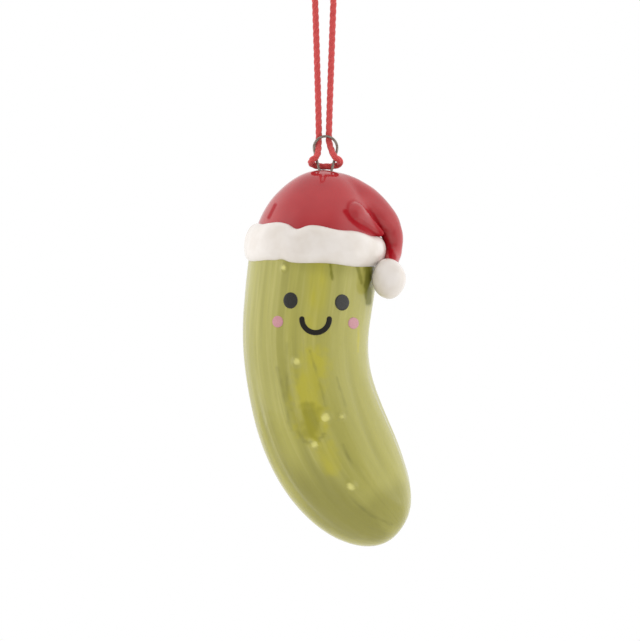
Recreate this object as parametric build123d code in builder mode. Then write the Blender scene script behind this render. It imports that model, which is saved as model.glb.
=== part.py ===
from build123d import *

import math
import os

# Hanging pickle ornament in a drooping winter cap: hollow glazed ceramic, a wire eyelet
# fired into the cap and a twisted cord loop. Millimetres, +Z up, the face looks along -Y.
# The origin is the middle of the hook that the cord loop hangs from.

# Cord loop
cord_diameter = 1.7
hook_diameter = 4.4
loop_drop = 50.0  # from the hook's middle down to the top of the wire ring
strand_gap = 2.7  # between the strands' middle lines where they reach the ring
swivel_drop = 3.0  # from the hook's middle down to where the loop starts to twist
fold_height = 1.0  # of the line on which the ornament swings, over the ring's top
swing_limit = 60.0  # degrees to the front and to the back
swing_clearance = 0.03
hook_wrap = 45.0  # degrees of the hook that each strand lies on
knot_height = 5.0  # of the knot's underside over the hook's middle
neck_clearance = 0.05  # between the strand's sides and the middle, where they enter the knot
knot_turns = 2
knot_turn_tilt = 12.0
cut_tail_length = 8.0
# Side of each cut tail, and how far it leans out and back
cut_tails = [(-1, 1.5, 0.5), (1, 0.9, 0.3)]
arc_share = 0.45  # of the shorter run beside a corner that the corner's arc takes up

# Wire eyelet
wire_diameter = 0.7
ring_width = 6.9  # outside
leg_gap = 3.4  # between the legs' middle lines where they enter the cap
leg_depth = 3.0  # of the legs inside the cap
cord_to_wire = 0.05  # clearance between the cord and the wire that it is hitched on
# The hitch from the ring's middle: behind its top, through to the front, round each side and
# behind the legs
hitch_route = [
    (-1.85, 1.35, 1.55),
    (-1.9, -0.05, -0.45),
    (-2.2, -1.5, -1.95),
    (-3.85, -1.3, -2.85),
    (-3.95, 1.15, -3.75),
    (-2.35, 1.7, -4.45),
    (0, 1.5, -4.65),
    (2.35, 1.7, -4.45),
    (3.95, 1.15, -3.75),
    (3.85, -1.3, -2.85),
    (2.2, -1.5, -1.95),
    (1.65, -0.05, -0.45),
    (0.95, 1.35, 1.55),
]

# Pickle
head_shift = -2.2  # sideways, of the seam between pickle and cap, from the line that it hangs on
head_drop = 30.1  # of that seam's middle below the top of the wire ring
head_lean = 7.3  # degrees, to the right going up
straight_length = 17.0  # of the pickle's axis below the seam
bend_radius = 62.5
seam_radius = 17.4
waist_draw = 0.7  # how much slimmer than the seam the waist is
waist_along = 35.0  # places along the axis count from the seam
belly_draw = 0.45  # how much slimmer than the seam the belly is
belly_along = 49.0
toe_length = 34.5  # from the belly to the tip
toe_fullness = 2.3  # 2 is an ellipse, more is blunter
wall = 3.0
straight_sections = 8  # that the form is drawn through, from the seam to the belly
toe_sections = 8
groove_count = 11
groove_phase = 82.0  # degrees from the right side towards the front
groove_depth = 0.45
groove_least = 0.02  # at the face and the toe's end
groove_from = 28.0  # along the axis, below the face
vent_diameter = 3.0
vent_along = 58.0
wart_rise = 0.55
# Distance along the axis, angle from the right side towards the front, width
warts = [
    (6.7, 115, 2.4),
    (30, 98, 3.0),
    (45.6, 83, 4.2),
    (47.1, 69.5, 2.2),
    (51.1, 100.6, 3.2),
    (65, 92, 3.4),
    (24, 20, 3.0),
    (41, 165, 3.0),
    (20, 200, 3.2),
    (33, 250, 3.4),
    (45, 215, 2.8),
    (50, 285, 3.2),
    (26, 310, 2.8),
    (64, 230, 3.0),
    (62, 350, 2.8),
]

# Face: four printed dots and a printed smile, X and Z of each middle from the seam's middle
print_thickness = 0.2
eye_width = 3.7
eye_height = 4.2
left_eye_place = (-6.44, -14.2)
right_eye_place = (6.93, -14.7)
cheek_width = 2.8
cheek_height = 3.0
left_cheek_place = (-9.78, -19.7)
right_cheek_place = (9.95, -20.1)
smile_place = (0.06, -19.0)
smile_radius = 3.55
smile_stroke = 1.36

# Fur band
band_rise = 1.6  # of its outside over the seam's radius
band_height = 9.4
band_edge = 1.4  # of its rounded edges
band_swell = 0.28  # of its middle over its edges
band_slant = 1.3  # how far its lower edge climbs to the right, and sinks to the left
band_clearance = 0.12
puffs_above = 9  # uneven puffs along its upper and its lower edge
puffs_below = 7
puff_depth = 0.3
band_waves = 2  # slow rises and falls of the whole band
band_sections = 12  # in each half

# Bobble
bobble_width = 8.9
bobble_height = 10.6
bobble_drop = 1.2  # of its middle below the middle height of the band's lower edge
bobble_angle = 24.0  # from the right side towards the front
bobble_nestle = 1.3  # how far it lies in under the band's outside

# Cap
cap_height = 21.1  # of the dome over the seam
cap_lean = 13.0  # degrees, to the right going up
cap_draw = 0.8  # how much slimmer than the seam the dome's foot is
cap_skirt = 3.0  # of the dome below its own foot, before it is cut off level at the seam
dome_draw = 0.76  # tightening of a dome's top, for each length that it is taller than a half ball
cap_wall = 3.2
cap_crown = 5.0  # thickness at the top, where the wire's legs end
tail_clearance = 0.1  # between the tail and the band that it droops over
tail_shoulder = 2.55  # radius of the tail where it bends down over the band's upper edge
shoulder_out = 0.9  # of that bend's middle, over the band's outside
shoulder_over = 2.2  # of that bend's middle, over the band's upper edge
tail_neck = 2.05  # radius of the tail where it passes the band
tail_tip = 1.6  # radius of the tail's end
tail_depth = 2.4  # of the tail's end below the bobble's top
tail_inset = 0.2  # of the tail's end from the middle of the bobble
bobble_along = band_height / 2 + bobble_drop
# Middle line of the drooping tail: distance out from the seam's radius, angle from the right side
# towards the front, height over the seam, and the tail's radius
tail_stations = [
    (-19.4, 0.0, 13.4, 7.0),
    (-13.4, 0.0, 13.4, 7.5),
    (-9.7, 0.0, 12.8, 7.2),
    (-5.6, 0.0, 11.9, 6.2),
    (-1.2, 0.0, 10.0, 4.5),
    (band_rise + shoulder_out, 0.0, band_height / 2 + shoulder_over, tail_shoulder),
    (band_rise + tail_clearance + tail_neck, 0.5, 2.2, tail_neck),
    (band_rise + tail_clearance + tail_neck, 8.5, -0.6, (tail_neck + tail_tip) / 2),
    (bobble_width / 2 - tail_inset, 18.9, bobble_height / 2 - bobble_along - tail_depth, tail_tip),
]
# The raised fold from its round end to its point, placed in the same way
fold_start = (-4.9, 38.5, 9.3)
fold_end = (-0.2, 15.2, 6.2)
fold_radius = 3.5
fold_tip_radius = 0.7

os.makedirs("parts", exist_ok=True)

# Places worked out from the driving dimensions
cord_radius = cord_diameter / 2
wire_radius = wire_diameter / 2
waist_radius = seam_radius - waist_draw
belly_radius = seam_radius - belly_draw
cap_reach = seam_radius - cap_draw
fold_z = -loop_drop + fold_height
ring_y = -(cord_radius + wire_radius + cord_to_wire)
lean = math.radians(head_lean)
head_x = Vector(math.cos(lean), 0, -math.sin(lean))
head_z = Vector(math.sin(lean), 0, math.cos(lean))
head_origin = Vector(head_shift, 0, -loop_drop - head_drop)
head_front = Plane(head_origin, x_dir=head_x, z_dir=Vector(0, -1, 0))
head_axis = Axis(head_origin, head_z)
seam_plane = Plane(head_origin, x_dir=head_x, z_dir=head_z)
crown = math.radians(cap_lean)
crown_x = Vector(math.cos(crown), 0, -math.sin(crown))
crown_z = Vector(math.sin(crown), 0, math.cos(crown))
crown_front = Plane(head_origin, x_dir=crown_x, z_dir=Vector(0, -1, 0))
crown_axis = Axis(head_origin, crown_z)
face_plane = Plane(head_origin, x_dir=(1, 0, 0), z_dir=(0, -1, 0))


def axis_plane(along):
    """The plane across the pickle's axis: x to the right, y to the front, z down the axis."""
    start = head_origin - head_z * min(along, straight_length)
    turn = max(along - straight_length, 0) / bend_radius
    centre = head_origin - head_z * straight_length + head_x * bend_radius
    if turn > 0:
        start = centre - head_x * bend_radius * math.cos(turn) - head_z * bend_radius * math.sin(turn)
    down = head_x * math.sin(turn) - head_z * math.cos(turn)
    right = head_x * math.cos(turn) + head_z * math.sin(turn)
    return Plane(start, x_dir=right, z_dir=down)


def ease(low, high, share):
    """From one value to another with a level start and end."""
    return low + (high - low) * (1 - math.cos(math.pi * share)) / 2


def radius_at(along):
    """Outside radius of the pickle: seam, waist, belly and a blunt toe."""
    if along <= waist_along:
        return ease(seam_radius, waist_radius, along / waist_along)
    if along <= belly_along:
        return ease(waist_radius, belly_radius, (along - waist_along) / (belly_along - waist_along))
    share = (along - belly_along) / toe_length
    return belly_radius * (1 - share**toe_fullness) ** (1 / toe_fullness)


def groove_at(along):
    """Depth of the lengthwise grooves, deepest half way between the face and the toe's end."""
    share = (along - groove_from) / (belly_along + toe_length - groove_from)
    return groove_least + groove_depth * max(math.sin(math.pi * share), 0)


def pickle_form(grow, grooved):
    """The pickle's form from the seam to the toe, grown by a distance all round."""
    straight = [belly_along * share / straight_sections for share in range(straight_sections)]
    turns = [math.pi / 2 * share / toe_sections for share in range(toe_sections)]
    sections = []
    for along in straight + [belly_along + toe_length * math.sin(turn) for turn in turns]:
        radius = radius_at(along) + grow
        depth = groove_at(along) if grooved else 0.0
        step = 360 / groove_count
        with BuildSketch(axis_plane(along)) as section:
            with BuildLine():
                for groove in range(groove_count):
                    angle = groove_phase + groove * step
                    start = Vector(radius - depth, 0).rotate(Axis.Z, angle)
                    crest = Vector(radius, 0).rotate(Axis.Z, angle + step / 2)
                    end = Vector(radius - depth, 0).rotate(Axis.Z, angle + step)
                    ThreePointArc(start, crest, end)
            make_face()
        sections.append(section.sketch)
    sections.append(Vertex(*axis_plane(belly_along + toe_length + grow).origin))
    with BuildPart() as form:
        loft(sections=sections)
    return form.part


def on_pickle(along, angle, height):
    """A point over the pickle's surface."""
    plane = axis_plane(along)
    reach = radius_at(along) + height
    turn = math.radians(angle)
    return plane.from_local_coords((reach * math.cos(turn), reach * math.sin(turn), 0))


pickle_outside = pickle_form(0.0, True)
print_skin = pickle_form(print_thickness, True)
pickle_inside = pickle_form(-wall, False)

with BuildPart() as warty_pickle:
    add(pickle_outside)
    for along, angle, width in warts:
        wart_radius = (width**2 / 4 + wart_rise**2) / (2 * wart_rise)
        with Locations(on_pickle(along, angle, wart_rise - wart_radius)):
            Sphere(wart_radius)

with BuildPart() as pickle_body:
    add(warty_pickle.part)
    add(pickle_inside, mode=Mode.SUBTRACT)
    vent_plane = Plane(axis_plane(vent_along).origin, z_dir=(0, 1, 0))
    with BuildSketch(vent_plane):
        Circle(vent_diameter / 2)
    extrude(amount=belly_radius * 2, mode=Mode.SUBTRACT)
pickle_body.part.label = "pickle_body"
export_step(pickle_body.part, "parts/pickle_body.step")

# Printed face, fired on over the glaze and following the pickle's surface


def face_print(outline):
    """A thin print of a flat outline, laid on the front of the pickle."""
    with BuildPart() as piece:
        extrude(outline, amount=seam_radius * 2, dir=(0, -1, 0))
        add(print_skin, mode=Mode.INTERSECT)
        add(warty_pickle.part, mode=Mode.SUBTRACT)
    return piece


def dot_outline(place, width, height):
    with BuildSketch(face_plane) as outline:
        with Locations(place):
            Ellipse(width / 2, height / 2)
    return outline.sketch


left_eye = face_print(dot_outline(left_eye_place, eye_width, eye_height))
left_eye.part.label = "left_eye"
export_step(left_eye.part, "parts/left_eye.step")

right_eye = face_print(dot_outline(right_eye_place, eye_width, eye_height))
right_eye.part.label = "right_eye"
export_step(right_eye.part, "parts/right_eye.step")

left_cheek = face_print(dot_outline(left_cheek_place, cheek_width, cheek_height))
left_cheek.part.label = "left_cheek"
export_step(left_cheek.part, "parts/left_cheek.step")

right_cheek = face_print(dot_outline(right_cheek_place, cheek_width, cheek_height))
right_cheek.part.label = "right_cheek"
export_step(right_cheek.part, "parts/right_cheek.step")

smile_x, smile_z = smile_place
with BuildSketch(face_plane) as smile_outline:
    with BuildLine():
        CenterArc(smile_place, smile_radius + smile_stroke / 2, 180, 180)
        CenterArc(smile_place, smile_radius - smile_stroke / 2, 180, 180)
        CenterArc((smile_x - smile_radius, smile_z), smile_stroke / 2, 0, 180)
        CenterArc((smile_x + smile_radius, smile_z), smile_stroke / 2, 0, 180)
    make_face()
smile = face_print(smile_outline.sketch)
smile.part.label = "smile"
export_step(smile.part, "parts/smile.step")

# Wire eyelet: a round top whose ends run together into the cap
ring_radius = (ring_width - wire_diameter) / 2
cap_top = head_origin + head_z * cap_height
ring_middle = Vector(cap_top.X, ring_y, -loop_drop - ring_width / 2)
ring_plane = Plane(ring_middle, x_dir=(1, 0, 0), z_dir=(0, -1, 0))
leg_drop = ring_middle.Z - cap_top.Z
leg_reach = math.hypot(leg_gap / 2, leg_drop)
leg_turn = math.degrees(math.atan2(leg_drop, leg_gap / 2) - math.acos(ring_radius / leg_reach))
leg_length = math.sqrt(leg_reach**2 - ring_radius**2) + leg_depth

with BuildPart() as wire_eyelet:
    with BuildLine(ring_plane) as wire_path:
        bow = CenterArc((0, 0), ring_radius, -leg_turn, 180 + 2 * leg_turn)
        right_leg = PolarLine(bow @ 0, leg_length, -90 - leg_turn)
        left_leg = PolarLine(bow @ 1, leg_length, -90 + leg_turn)
    with BuildSketch(Plane(right_leg @ 1, z_dir=(right_leg @ 0) - (right_leg @ 1))):
        Circle(wire_radius)
    sweep(path=wire_path.line)
wire_eyelet.part.label = "wire_eyelet"
export_step(wire_eyelet.part, "parts/wire_eyelet.step")

# Cap: a leaning dome whose tail droops over the right side, with one raised fold


def flank_radius(reach, height):
    """Radius of the flank arc that stands upright at a dome's edge and runs into its crown."""
    return reach + (height - reach) * (1 + 1 / (2 * dome_draw))


def dome_outline(plane, reach, height):
    """Half of a dome's section: a flank arc that runs into a crown arc on the axis."""
    top = reach - dome_draw * (height - reach)
    flank = flank_radius(reach, height)
    turn = math.degrees(math.atan2(1 + dome_draw, 1 + 1 / (2 * dome_draw)))
    with BuildSketch(plane) as outline:
        with BuildLine():
            CenterArc((reach - flank, 0), flank, 0, turn)
            CenterArc((0, height - top), top, turn, 90 - turn)
            Polyline((0, height), (0, 0), (reach, 0))
        make_face()
    return outline.sketch


def on_cap(out, angle, height):
    """A point by its distance out from the seam's radius, its angle and its height over the seam."""
    turn = math.radians(angle)
    sideways = head_x * math.cos(turn) - Vector(0, 1, 0) * math.sin(turn)
    return head_origin + sideways * (seam_radius + out) + head_z * height


def tail_section(place, tangent, radius):
    """A round section of the tail, square to its middle line."""
    with BuildSketch(Plane(place, z_dir=tangent)) as section:
        Circle(radius)
    return section.sketch


tail_places = [on_cap(out, angle, height) for out, angle, height, radius in tail_stations]
with BuildLine():
    tail_line = Spline(tail_places)
tail_sections = []
for place, station in zip(tail_places, tail_stations):
    tail_sections.append(tail_section(place, tail_line % tail_line.param_at_point(place), station[-1]))

fold_foot = on_cap(*fold_start)
fold_along = on_cap(*fold_end) - fold_foot
fold_plane = Plane(fold_foot, x_dir=fold_along, z_dir=fold_along.cross(Vector(0, 0, 1)))
fold_taper = math.degrees(math.asin((fold_radius - fold_tip_radius) / fold_along.length))

with BuildPart() as cap:
    revolve(dome_outline(crown_front, cap_reach, cap_height), axis=crown_axis)
    with Locations(Plane(head_origin, x_dir=crown_x, z_dir=crown_z)):
        Cylinder(cap_reach, cap_skirt, align=(Align.CENTER, Align.CENTER, Align.MAX))
    split(bisect_by=seam_plane, keep=Keep.TOP)
    loft(sections=tail_sections)
    with BuildSketch(fold_plane):
        with BuildLine():
            big_end = CenterArc((0, 0), fold_radius, 90 - fold_taper, 90 + fold_taper)
            small_end = CenterArc((fold_along.length, 0), fold_tip_radius, 0, 90 - fold_taper)
            Line(big_end @ 0, small_end @ 1)
            Line(big_end @ 1, small_end @ 0)
        make_face()
    revolve(axis=Axis(fold_foot, fold_along))
    hollow = dome_outline(head_front, cap_reach - cap_wall, cap_height - cap_crown)
    revolve(hollow, axis=head_axis, mode=Mode.SUBTRACT)
    add(wire_eyelet.part, mode=Mode.SUBTRACT)
cap.part.label = "cap"
export_step(cap.part, "parts/cap.step")

# Fur band: a puffed ring over the seam, lofted in two halves


def cap_radius(height, turn):
    """Outside radius of the leaning cap's flank, at a height over the seam and in a direction."""
    flank = flank_radius(cap_reach, cap_height)
    rise = (flank - cap_reach) * math.sin(crown - lean) * math.cos(turn)
    return cap_reach - flank + math.sqrt(flank**2 - (height - rise) ** 2)


def band_section(angle):
    """The band's section at an angle about the head's axis, with its uneven puffs."""
    turn = math.radians(angle)
    radial = head_x * math.cos(turn) + Vector(0, 1, 0) * math.sin(turn)
    middle = puff_depth * math.sin(band_waves * turn)
    top = middle + band_height / 2 + puff_depth * math.sin(puffs_above * turn)
    slant = band_slant * math.cos(turn)
    bottom = middle + slant - band_height / 2 - puff_depth * math.cos(puffs_below * turn)
    inside = seam_radius + band_clearance
    outside = seam_radius + band_rise
    shoulder = outside - band_swell
    inset = band_edge * (1 - math.sqrt(0.5))
    seat = band_clearance
    heights = (top, (top + seat) / 2, seat)
    over_cap = [(cap_radius(height, turn) + band_clearance, height) for height in heights]
    with BuildSketch(Plane(head_origin, x_dir=radial, z_dir=radial.cross(head_z))) as section:
        with BuildLine():
            ThreePointArc(*over_cap)
            Polyline(over_cap[-1], (inside, seat), (inside, bottom))
            corner = (shoulder - inset, bottom + inset)
            ThreePointArc((inside, bottom), corner, (shoulder, bottom + band_edge))
            ThreePointArc((shoulder, bottom + band_edge), (outside, middle), (shoulder, top - band_edge))
            corner = (shoulder - inset, top - inset)
            ThreePointArc((shoulder, top - band_edge), corner, over_cap[0])
        make_face()
    return section.sketch


with BuildPart() as fur_band:
    for half in range(2):
        angles = [180 * (half + share / band_sections) for share in range(band_sections + 1)]
        loft(sections=[band_section(angle) for angle in angles])
fur_band.part.label = "fur_band"
export_step(fur_band.part, "parts/fur_band.step")

# Bobble on the tail's end, nestled under the band's lower edge
bobble_reach = seam_radius + band_rise + bobble_width / 2 - bobble_nestle
bobble_turn = math.radians(bobble_angle)
bobble_local = (bobble_reach * math.cos(bobble_turn), bobble_reach * math.sin(bobble_turn), 0)
bobble_place = axis_plane(bobble_along).from_local_coords(bobble_local)

with BuildPart() as bobble:
    bobble_front = Plane(bobble_place, x_dir=(1, 0, 0), z_dir=(0, -1, 0))
    upper = dome_outline(bobble_front, bobble_width / 2, bobble_height / 2)
    revolve(upper, axis=Axis(bobble_place, (0, 0, 1)))
    mirror(about=Plane(bobble_place))
    add(cap.part, mode=Mode.SUBTRACT)
bobble.part.label = "bobble"
export_step(bobble.part, "parts/bobble.step")

# Cord: one length of cord, hitched on the ring, over the hook and tied in a knot above it


def corner_radii(points):
    """The largest arc that fits each corner of a route."""
    radii = []
    for before, corner, after in zip(points, points[1:], points[2:]):
        first = Vector(*corner) - Vector(*before)
        second = Vector(*after) - Vector(*corner)
        half_turn = math.radians(first.get_angle(second) / 2)
        radii.append(arc_share * min(first.length, second.length) / math.tan(half_turn))
    return radii


def cord_tube(name, points, radii):
    """A tube of the cord along straight runs joined by tangent arcs."""
    with BuildPart() as tube:
        with BuildLine():
            route = FilletPolyline(points, radius=radii)
        with BuildSketch(Plane(route @ 0, z_dir=route % 0)):
            Circle(cord_radius)
        sweep(path=route)
    fill = tube.part.volume / (math.pi * cord_radius**2 * route.length)
    rounded = [round(radius, 2) for radius in radii]
    print(name, "length", round(route.length, 2), "radii", rounded, "fill", round(fill, 4))
    return tube.part


left_x = -strand_gap / 2
right_x = strand_gap / 2
lap_radius = hook_diameter / 2 + cord_radius

# From the fold line up past the hook and in to the knot, left and right alike
lap_corner = lap_radius * math.tan(math.radians(hook_wrap / 2))
neck_x = cord_radius + neck_clearance
neck_z = lap_radius * math.sqrt(2) - neck_x
left_points = [
    (left_x, 0, fold_z),
    (-lap_radius, 0, lap_corner),
    (-neck_x, 0, neck_z),
    (-neck_x, 0, knot_height + cord_diameter),
]
right_points = [
    (right_x, 0, fold_z),
    (lap_radius, 0, lap_corner),
    (neck_x, 0, neck_z),
    (neck_x, 0, knot_height + cord_diameter),
]
neck_radius = corner_radii(left_points)[1]
left_side = cord_tube("left side", left_points, [lap_radius, neck_radius])
right_side = cord_tube("right side", right_points, [lap_radius, neck_radius])
swivel_plane = Plane.XY.offset(-swivel_drop)


def strand(side, foot):
    """One hanging strand, with a rounded foot that the ornament swings about."""
    with BuildPart() as piece:
        add(side)
        split(bisect_by=swivel_plane, keep=Keep.BOTTOM)
        with Locations(foot):
            Sphere(cord_radius)
    return piece


left_strand = strand(left_side, left_points[0])
left_strand.part.label = "left_strand"
export_step(left_strand.part, "parts/left_strand.step")

right_strand = strand(right_side, right_points[0])
right_strand.part.label = "right_strand"
export_step(right_strand.part, "parts/right_strand.step")

with BuildPart() as cord_top:
    add(left_side)
    add(right_side)
    split(bisect_by=swivel_plane, keep=Keep.TOP)
    split(bisect_by=Plane.XY.offset(knot_height), keep=Keep.BOTTOM)
cord_top.part.label = "cord_top"
export_step(cord_top.part, "parts/cord_top.step")

# The knot: turns of the cord about its own two strands, and two cut tails
with BuildPart() as cord_knot:
    turn_radius = cord_diameter + cord_to_wire
    knot_core = cord_diameter * (knot_turns + 1)
    with Locations((0, 0, knot_height)):
        Cylinder(turn_radius, knot_core, align=(Align.CENTER, Align.CENTER, Align.MIN))
    for turn in range(knot_turns):
        turn_z = knot_height + cord_diameter * (turn + 1)
        with Locations(Location((0, 0, turn_z), (knot_turn_tilt * (-1) ** turn, knot_turn_tilt, 0))):
            Torus(turn_radius, cord_radius)
    tail_z = knot_height + knot_core - cord_diameter
    for side, out, back in cut_tails:
        tail_points = [
            (side * neck_x, 0, tail_z),
            (side * neck_x, back, tail_z + cut_tail_length / 2),
            (side * (neck_x + out), back, tail_z + cut_tail_length),
        ]
        add(cord_tube("knot tail", tail_points, corner_radii(tail_points)))
    split(bisect_by=Plane.XY.offset(knot_height), keep=Keep.TOP)
cord_knot.part.label = "cord_knot"
export_step(cord_knot.part, "parts/cord_knot.step")

# The hitch on the ring, from one strand round to the other
hitch_top = fold_z - cord_radius * math.tan(math.radians(swing_limit)) - swing_clearance
hitch_middle = [tuple(ring_middle + Vector(*point)) for point in hitch_route]
hitch_points = [(left_x, 0, hitch_top)] + hitch_middle + [(right_x, 0, hitch_top)]
with BuildPart() as cord_hitch:
    add(cord_tube("hitch", hitch_points, corner_radii(hitch_points)))
    add(wire_eyelet.part, mode=Mode.SUBTRACT)
cord_hitch.part.label = "cord_hitch"
export_step(cord_hitch.part, "parts/cord_hitch.step")
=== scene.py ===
import math

import bmesh
import bpy
import numpy as np
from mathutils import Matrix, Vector, noise
from mathutils.bvhtree import BVHTree


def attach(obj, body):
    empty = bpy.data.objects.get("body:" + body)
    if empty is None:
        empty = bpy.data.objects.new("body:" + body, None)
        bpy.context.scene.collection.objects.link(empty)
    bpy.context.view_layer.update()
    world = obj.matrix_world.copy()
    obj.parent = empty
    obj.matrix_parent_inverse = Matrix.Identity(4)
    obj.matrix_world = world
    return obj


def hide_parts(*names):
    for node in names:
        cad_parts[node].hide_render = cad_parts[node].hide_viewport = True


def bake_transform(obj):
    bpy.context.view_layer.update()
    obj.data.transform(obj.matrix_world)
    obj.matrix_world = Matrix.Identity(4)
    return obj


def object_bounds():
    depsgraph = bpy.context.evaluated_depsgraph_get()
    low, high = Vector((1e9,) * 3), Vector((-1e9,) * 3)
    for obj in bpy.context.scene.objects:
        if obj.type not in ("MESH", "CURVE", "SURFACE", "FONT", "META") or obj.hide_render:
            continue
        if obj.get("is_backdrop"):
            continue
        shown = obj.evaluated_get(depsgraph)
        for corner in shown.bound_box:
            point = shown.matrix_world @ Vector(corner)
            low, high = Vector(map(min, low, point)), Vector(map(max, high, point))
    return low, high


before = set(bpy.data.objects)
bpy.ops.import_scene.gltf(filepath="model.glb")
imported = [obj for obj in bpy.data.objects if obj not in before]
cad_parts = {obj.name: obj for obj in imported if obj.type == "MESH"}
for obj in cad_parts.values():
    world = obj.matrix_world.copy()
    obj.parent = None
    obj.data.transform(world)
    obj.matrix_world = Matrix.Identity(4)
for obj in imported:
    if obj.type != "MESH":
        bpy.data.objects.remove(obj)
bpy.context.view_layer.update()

# Helpers for every piece. Forms are worked out in millimetres and become meshes in metres, and
# each material is built from a few small functions, the first of which adds a node.
mm = 0.001
glaze_ior = 1.5
plain_sheen, shaded_sheen = 0.5, 0.08


def linear(colour):
    """An sRGB hex colour as linear RGBA."""
    parts = [int(colour[i:i + 2], 16) / 255 for i in (1, 3, 5)]
    return [p / 12.92 if p <= 0.04045 else ((p + 0.055) / 1.055) ** 2.4 for p in parts] + [1.0]


def add_node(tree, kind, inputs=None, **settings):
    """Adds a shader node with its settings, its values and its links."""
    made = tree.nodes.new("ShaderNode" + kind)
    for name, value in settings.items():
        setattr(made, name, value)
    for socket, value in (inputs or {}).items():
        if isinstance(value, bpy.types.NodeSocket):
            tree.links.new(value, made.inputs[socket])
        else:
            made.inputs[socket].default_value = value
    return made


def new_material(name):
    """A material with nothing in it but its shader, with the tree that holds it."""
    made = bpy.data.materials.new(name)
    made.use_nodes = True
    return made, made.node_tree, made.node_tree.nodes["Principled BSDF"]


def stored(tree, name, kind="Fac"):
    """What the mesh keeps for each point under a name."""
    return add_node(tree, "Attribute", attribute_name=name).outputs[kind]


def ranged(tree, value, low=0.0, high=1.0, first=0.0, last=1.0, **settings):
    """A value from low to high as one from first to last."""
    return add_node(tree, "MapRange", {
        "Value": value, "From Min": low, "From Max": high, "To Min": first, "To Max": last,
    }, **settings).outputs[0]


def tinted(tree, share, colour, tint):
    """A colour with a share of a tint."""
    return add_node(tree, "MixRGB", {"Fac": share, "Color1": colour, "Color2": tint}).outputs[0]


def clouds(tree, place, size, detail):
    """Noise whose clouds are about that many millimetres wide."""
    return add_node(tree, "TexNoise", {
        "Vector": place, "Scale": 1 / (size * mm), "Detail": detail}).outputs["Fac"]


def bumped(tree, shader, height, depth):
    """Raises the surface by a texture, by about that many millimetres."""
    bump = add_node(tree, "Bump", {"Height": height, "Strength": 1.0, "Distance": depth * mm})
    tree.links.new(bump.outputs[0], shader.inputs["Normal"])


def dipped_glaze(name, thin, thick, pooled_tint, cloud_size, peel_size, peel_depth, roughness):
    """A slightly cloudy glaze with a faint orange peel, darker where it has pooled."""
    made, tree, shader = new_material(name)
    place = add_node(tree, "TexCoord").outputs["Object"]
    pooled = stored(tree, "hollow")
    share = ranged(tree, clouds(tree, place, cloud_size, 2.0), 0.35, 0.7)
    colour = tinted(tree, share, linear(thin), linear(thick))
    colour = tinted(tree, pooled, colour, linear(pooled_tint))
    tree.links.new(colour, shader.inputs["Base Color"])
    bumped(tree, shader, clouds(tree, place, peel_size, 1.0), peel_depth)
    shader.inputs["Roughness"].default_value = roughness
    shader.inputs["IOR"].default_value = glaze_ior
    return made, tree, shader, pooled


def add_object(name, data):
    """An object of the scene that shows the data."""
    made = bpy.data.objects.new(name, data)
    bpy.context.scene.collection.objects.link(made)
    return made


def new_piece(name, points, faces, material):
    """A smooth mesh object from points in millimetres."""
    mesh = bpy.data.meshes.new(name)
    mesh.from_pydata([tuple(p) for p in np.asarray(points) * mm], [], faces)
    mesh.materials.append(material)
    mesh.polygons.foreach_set("use_smooth", [True] * len(mesh.polygons))
    return add_object(name, mesh)


def shaped_mesh(piece):
    """The mesh that an object's modifiers or its curve make."""
    bpy.context.view_layer.update()
    shaped = piece.evaluated_get(bpy.context.evaluated_depsgraph_get())
    return bpy.data.meshes.new_from_object(shaped)


def apply_modifiers(piece):
    """Makes what the modifiers give the piece's own mesh."""
    shaped = shaped_mesh(piece)
    piece.modifiers.clear()
    piece.data = shaped
    shaped.polygons.foreach_set("use_smooth", [True] * len(shaped.polygons))


def mesh_points(mesh):
    """A mesh's points in millimetres."""
    flat = np.zeros(len(mesh.vertices) * 3, np.float32)
    mesh.vertices.foreach_get("co", flat)
    return flat.reshape(-1, 3).astype(float) / mm


def store(mesh, name, values):
    """Keeps a number or a vector for each point, for the material to read."""
    vector = values.ndim == 2
    field = mesh.attributes.new(name, "FLOAT_VECTOR" if vector else "FLOAT", "POINT")
    field.data.foreach_set("vector" if vector else "value", values.astype(np.float32).ravel())


def ring_faces(rows, columns, first=0):
    """Quads of a tube whose rows are closed rings, facing out where the rings turn with the rows."""
    faces = []
    for row in range(rows - 1):
        for column in range(columns):
            after = (column + 1) % columns
            a, b = first + row * columns, first + (row + 1) * columns
            faces.append((a + column, a + after, b + after, b + column))
    return faces


def tube_faces(rows, columns):
    """Faces of a tube of closed rings with both ends closed."""
    start, end = range(columns), range((rows - 1) * columns, rows * columns)
    return ring_faces(rows, columns) + [tuple(start)[::-1], tuple(end)]


def joined(forms):
    """Several forms as one list of points and one of faces."""
    points, faces, first = [], [], 0
    for form_points, form_faces in forms:
        points.append(form_points)
        faces += [tuple(first + number for number in face) for face in form_faces]
        first += len(form_points)
    return np.concatenate(points), faces


def ease(share):
    """From 0 to 1 with a level start and end."""
    return (1 - np.cos(math.pi * np.clip(share, 0, 1))) / 2


def ripple(points, size):
    """Smooth noise between -1 and 1 whose lumps are about that many millimetres wide."""
    return np.array([noise.noise(Vector(p)) for p in np.asarray(points) / size])


def apart(angle, middle):
    """How far angles are from another, up to half a turn."""
    return np.abs((angle - middle + math.pi) % (2 * math.pi) - math.pi)


def away_from(places, route):
    """How far X and Z places are from a route of straight runs, in millimetres."""
    away = np.full(len(places), np.inf)
    for start, end in zip(np.array(route), np.array(route[1:])):
        run = end - start
        share = np.clip((places - start) @ run / (run @ run), 0, 1)
        away = np.minimum(away, np.linalg.norm(places - start - share[:, None] * run, axis=1))
    return away


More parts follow.
